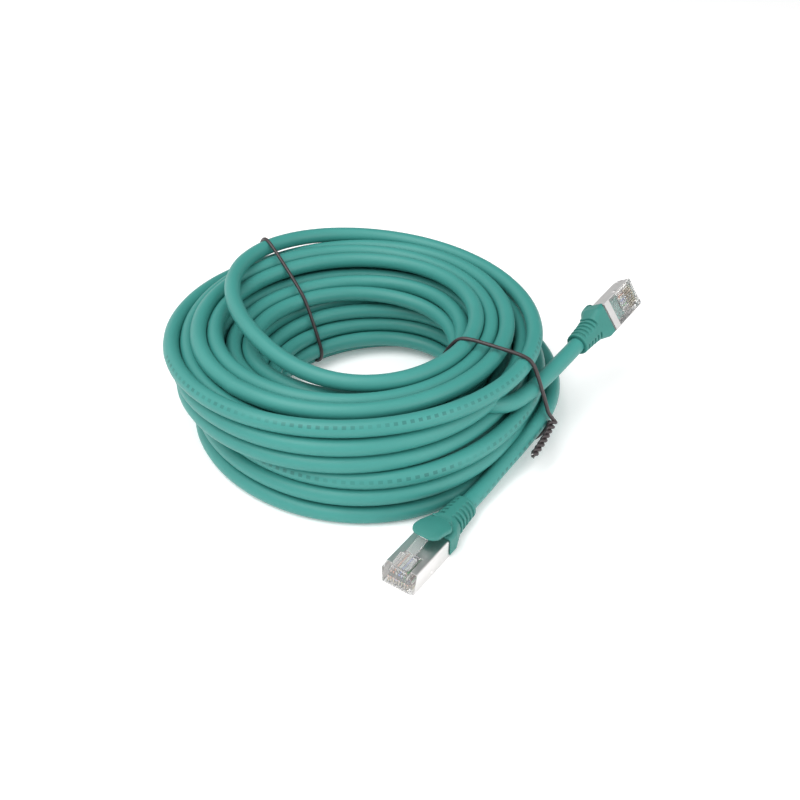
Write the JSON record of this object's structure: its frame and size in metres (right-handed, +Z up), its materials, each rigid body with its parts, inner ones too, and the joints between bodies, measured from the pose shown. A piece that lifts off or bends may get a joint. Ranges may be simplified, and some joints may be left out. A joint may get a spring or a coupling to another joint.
{
  "type": "ethernet patch cable",
  "caption": "Coiled screened ethernet patch cable tied in a ring, with a shielded modular plug, ribbed boot and sprung latch hood on each end.",
  "frame": {"origin": "middle of the whole cable's footprint, on the surface it lies on", "axes": "+Z up, +Y away from the side where the flat-lying plug points out, +X towards the raised plug"},
  "size_m": [0.1834, 0.1745, 0.039],
  "materials": {
    "green_jacket": "satin PVC jacket",
    "green_boot": "soft moulded PVC",
    "clear_housing": "clear polycarbonate",
    "clear_latch": "clear polycarbonate",
    "nickel_shield": "nickel-plated pressed brass",
    "gold_contact": "gold flash on bronze",
    "foil": "aluminium foil on polyester",
    "tinned_wire": "tinned copper",
    "copper": "bare copper",
    "wire_white_orange": "polyethylene",
    "wire_orange": "polyethylene",
    "wire_white_green": "polyethylene",
    "wire_green": "polyethylene",
    "wire_white_blue": "polyethylene",
    "wire_blue": "polyethylene",
    "wire_white_brown": "polyethylene",
    "wire_brown": "polyethylene",
    "tie_plastic": "dark plastic coating",
    "tie_steel": "soft steel wire"
  },
  "bodies": {
    "cable": {"blue_wire_a": "wire_blue", "blue_wire_b": "wire_blue", "boot_a": "green_boot", "boot_b": "green_boot", "brown_wire_a": "wire_brown", "brown_wire_b": "wire_brown", "cable_coil": "green_jacket", "contacts_a": "gold_contact", "contacts_b": "gold_contact", "copper_a": "copper", "copper_b": "copper", "drain_wire_a": "tinned_wire", "drain_wire_b": "tinned_wire", "foil_a": "foil", "foil_b": "foil", "green_wire_a": "wire_green", "green_wire_b": "wire_green", "housing_a": "clear_housing", "housing_b": "clear_housing", "jacket_end_a": "green_jacket", "jacket_end_b": "green_jacket", "lead_a": "green_jacket", "lead_b": "green_jacket", "left_tie": "tie_plastic", "left_tie_core": "tie_steel", "orange_wire_a": "wire_orange", "orange_wire_b": "wire_orange", "right_tie": "tie_plastic", "right_tie_core": "tie_steel", "shield_a": "nickel_shield", "shield_b": "nickel_shield", "white_blue_wire_a": "wire_white_blue", "white_blue_wire_b": "wire_white_blue", "white_brown_wire_a": "wire_white_brown", "white_brown_wire_b": "wire_white_brown", "white_green_wire_a": "wire_white_green", "white_green_wire_b": "wire_white_green", "white_orange_wire_a": "wire_white_orange", "white_orange_wire_b": "wire_white_orange"},
    "hood_a": {"hood_a": "green_boot"},
    "latch_a": {"latch_a": "clear_latch"},
    "hood_b": {"hood_b": "green_boot"},
    "latch_b": {"latch_b": "clear_latch"}
  },
  "joints": [
    {"name": "hood_press_a", "type": "hinge", "parent": "cable", "child": "hood_a", "pos_m": [0.00877, -0.06419, 0.00915], "axis": [0.8164, -0.5775, 0], "range_deg": [0, 11.2], "stiffness_Nm_per_rad": 0.002},
    {"name": "latch_press_a", "type": "hinge", "parent": "cable", "child": "latch_a", "pos_m": [-0.00432, -0.08268, 0.00698], "axis": [-0.8164, 0.5775, 0], "range_deg": [0, 9], "stiffness_Nm_per_rad": 0.002},
    {"name": "hood_press_b", "type": "hinge", "parent": "cable", "child": "hood_b", "pos_m": [0.06869, 0.02765, 0.02615], "axis": [0.4968, -0.2478, -0.8317], "range_deg": [0, 11.2], "stiffness_Nm_per_rad": 0.002},
    {"name": "latch_press_b", "type": "hinge", "parent": "cable", "child": "latch_b", "pos_m": [0.08377, 0.04419, 0.03023], "axis": [-0.4968, 0.2478, 0.8317], "range_deg": [0, 9], "stiffness_Nm_per_rad": 0.002}
  ],
  "couplings": [
    {"joint": "latch_press_a", "follows": "hood_press_a", "ratio": 0.8035},
    {"joint": "latch_press_b", "follows": "hood_press_b", "ratio": 0.8035}
  ]
}
